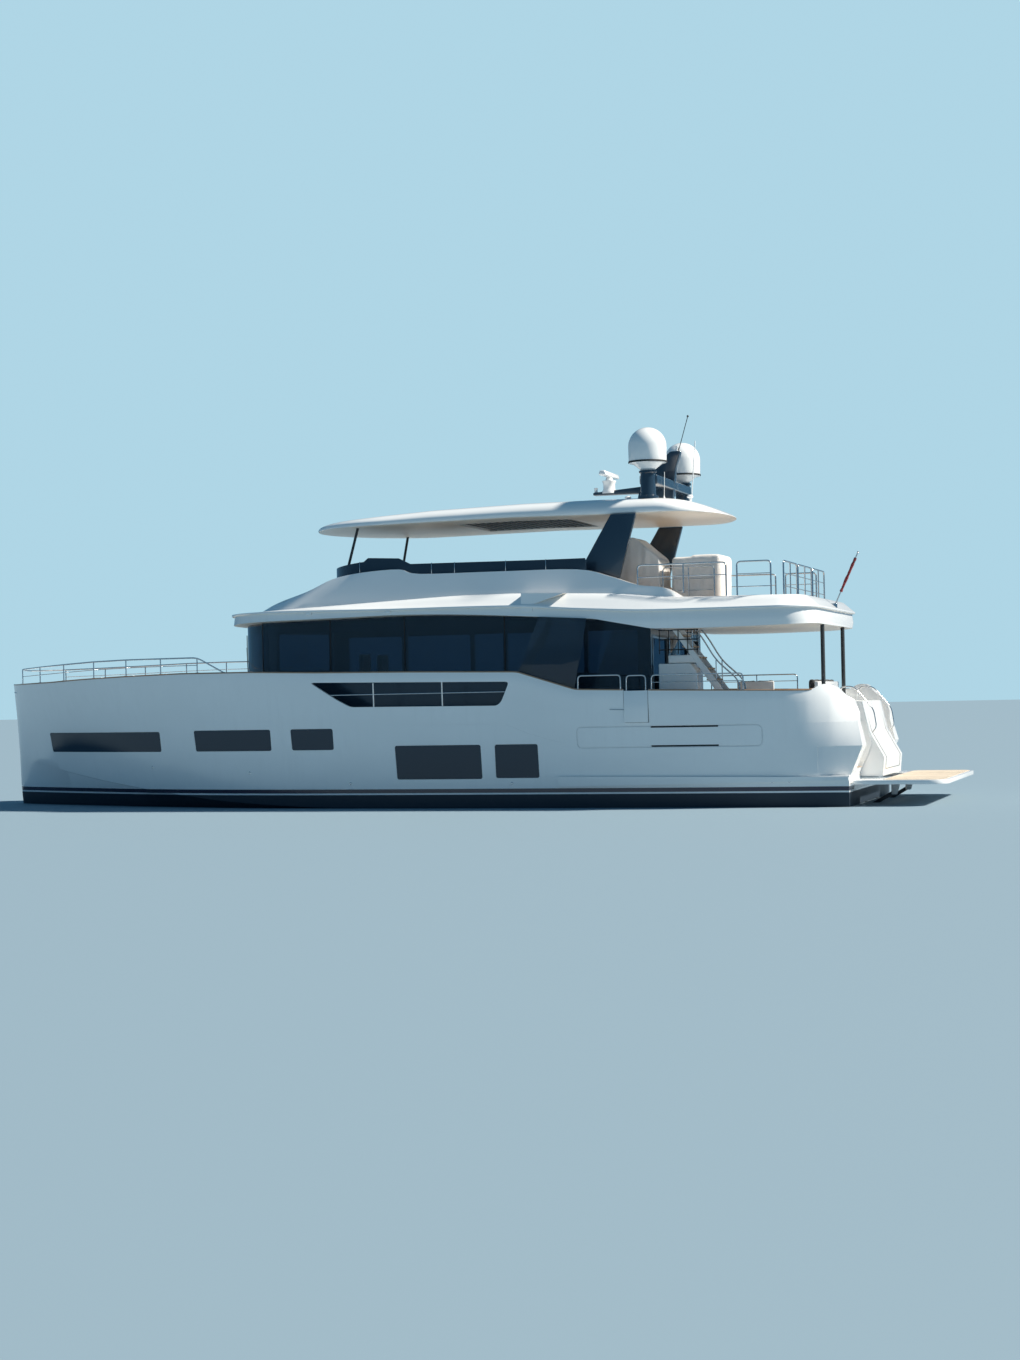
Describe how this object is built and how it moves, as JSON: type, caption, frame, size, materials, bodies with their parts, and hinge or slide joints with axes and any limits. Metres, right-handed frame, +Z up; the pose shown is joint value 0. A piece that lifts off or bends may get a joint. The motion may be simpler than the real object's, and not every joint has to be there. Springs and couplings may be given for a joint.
{
  "type": "flybridge motor yacht",
  "caption": "Long-range motor yacht afloat: raised bow, glazed deckhouse, flybridge under a hardtop, mast with domes, and a lowering swim platform.",
  "frame": {"origin": "on the waterline, on the centreline, halfway along the length overall", "axes": "+X to the bow, +Y to port, +Z up"},
  "size_m": [25.73, 7.0834, 11.2665],
  "materials": {
    "gelcoat": "glossy white gelcoat on glass-fibre mouldings",
    "glass": "dark tinted glass, flush-glazed",
    "navy_paint": "dark blue-grey gloss paint",
    "stainless": "polished stainless steel",
    "bronze": "cast nickel-aluminium bronze",
    "teak": "oiled teak planking with dark seams",
    "vinyl": "off-white outdoor upholstery and covers",
    "charcoal": "matt charcoal",
    "ensign_cloth": "plain red woven bunting",
    "engine": "grey engine enamel"
  },
  "bodies": {
    "yacht": {"hull": "gelcoat", "bulwark_port": "gelcoat", "bulwark_starboard": "gelcoat", "deckhouse": "gelcoat", "flybridge_deck": "gelcoat", "flybridge_coaming": "gelcoat", "hardtop": "gelcoat", "satellite_dome_port": "gelcoat", "satellite_dome_starboard": "gelcoat", "foredeck_lounge": "gelcoat", "side_glass_port": "glass", "side_glass_starboard": "glass", "windshield": "glass", "wing_glass_port": "glass", "wing_glass_starboard": "glass", "flybridge_screen": "glass", "aft_bulkhead": "navy_paint", "arch_leg_port": "navy_paint", "arch_leg_starboard": "navy_paint", "mast": "navy_paint", "bow_rail": "stainless", "gate_rail_port": "stainless", "gate_rail_starboard": "stainless", "flybridge_rail": "stainless", "flagstaff": "stainless", "bulwark_rail_port": "stainless", "bulwark_rail_starboard": "stainless", "overhang_post_port": "stainless", "overhang_post_starboard": "stainless", "shaft_bracket_port": "bronze", "shaft_bracket_starboard": "bronze", "engine_room_hatch": "teak", "flybridge_stairs": "teak", "cockpit_table": "teak", "helm_seats": "vinyl", "saloon_sofa": "vinyl", "foredeck_pad": "vinyl", "flybridge_sofa": "vinyl", "bar_cover": "vinyl", "furniture_cover": "vinyl", "helm_console": "charcoal", "flybridge_console": "charcoal", "cockpit_sofa": "charcoal", "cockpit_bench": "charcoal", "engine_port": "engine", "engine_starboard": "engine", "ensign": "ensign_cloth"},
    "propeller_port": {"propeller_port": "bronze"},
    "propeller_starboard": {"propeller_starboard": "bronze"},
    "rudder_port": {"rudder_port": "bronze"},
    "rudder_starboard": {"rudder_starboard": "bronze"},
    "boarding_gate_port": {"boarding_gate_port": "gelcoat"},
    "boarding_gate_starboard": {"boarding_gate_starboard": "gelcoat"},
    "stern_gate_port": {"stern_gate_port": "gelcoat"},
    "stern_gate_starboard": {"stern_gate_starboard": "gelcoat"},
    "platform_arms": {"platform_arms": "stainless"},
    "swim_platform": {"swim_platform": "teak"},
    "saloon_door": {"saloon_door": "glass"},
    "foredeck_hatch": {"foredeck_hatch": "glass"},
    "radar_scanner": {"radar_scanner": "gelcoat"}
  },
  "joints": [
    {"name": "propeller_spin_port", "type": "hinge", "parent": "yacht", "child": "propeller_port", "pos_m": [-9.78, 1.5, -1.2], "axis": [0.9816, 0, 0.1908], "continuous": true},
    {"name": "propeller_spin_starboard", "type": "hinge", "parent": "yacht", "child": "propeller_starboard", "pos_m": [-9.78, -1.5, -1.2], "axis": [0.9816, 0, 0.1908], "continuous": true},
    {"name": "rudder_turn_port", "type": "hinge", "parent": "yacht", "child": "rudder_port", "pos_m": [-10.33, 1.5, -0.6], "axis": [0, 0, 1], "range_deg": [-35, 35]},
    {"name": "rudder_turn_starboard", "type": "hinge", "parent": "yacht", "child": "rudder_starboard", "pos_m": [-10.33, -1.5, -0.6], "axis": [0, 0, 1], "range_deg": [-35, 35]},
    {"name": "boarding_gate_swing_port", "type": "hinge", "parent": "yacht", "child": "boarding_gate_port", "pos_m": [-5.462, 3.4234, 2.01], "axis": [0, 0, 1], "range_deg": [0, 90]},
    {"name": "boarding_gate_swing_starboard", "type": "hinge", "parent": "yacht", "child": "boarding_gate_starboard", "pos_m": [-5.462, -3.4234, 2.01], "axis": [0, 0, -1], "range_deg": [0, 90]},
    {"name": "stern_gate_swing_port", "type": "hinge", "parent": "yacht", "child": "stern_gate_port", "pos_m": [-9.64, 2.33, 1.958], "axis": [0, 0, 1], "range_deg": [0, 90]},
    {"name": "stern_gate_swing_starboard", "type": "hinge", "parent": "yacht", "child": "stern_gate_starboard", "pos_m": [-9.64, -2.33, 1.958], "axis": [0, 0, -1], "range_deg": [0, 90]},
    {"name": "saloon_door_slide", "type": "slide", "parent": "yacht", "child": "saloon_door", "axis": [0, -1, 0], "range_m": [0, 0.98]},
    {"name": "platform_lift", "type": "hinge", "parent": "yacht", "child": "platform_arms", "pos_m": [-10.81, 0, -0.1], "axis": [0, -1, 0], "range_deg": [0, 60]},
    {"name": "platform_level", "type": "hinge", "parent": "platform_arms", "child": "swim_platform", "pos_m": [-11.41622, 0, 0.25], "axis": [0, -1, 0], "range_deg": [-60, 0]},
    {"name": "foredeck_hatch_lid", "type": "hinge", "parent": "yacht", "child": "foredeck_hatch", "pos_m": [10.51, 0, 2.4704], "axis": [0, 1, 0], "range_deg": [0, 75]},
    {"name": "radar_spin", "type": "hinge", "parent": "yacht", "child": "radar_scanner", "pos_m": [-4.25, 0, 8.1], "axis": [0, 0, 1], "continuous": true}
  ],
  "couplings": [
    {"joint": "rudder_turn_starboard", "follows": "rudder_turn_port", "ratio": 1},
    {"joint": "platform_level", "follows": "platform_lift", "ratio": -1}
  ]
}
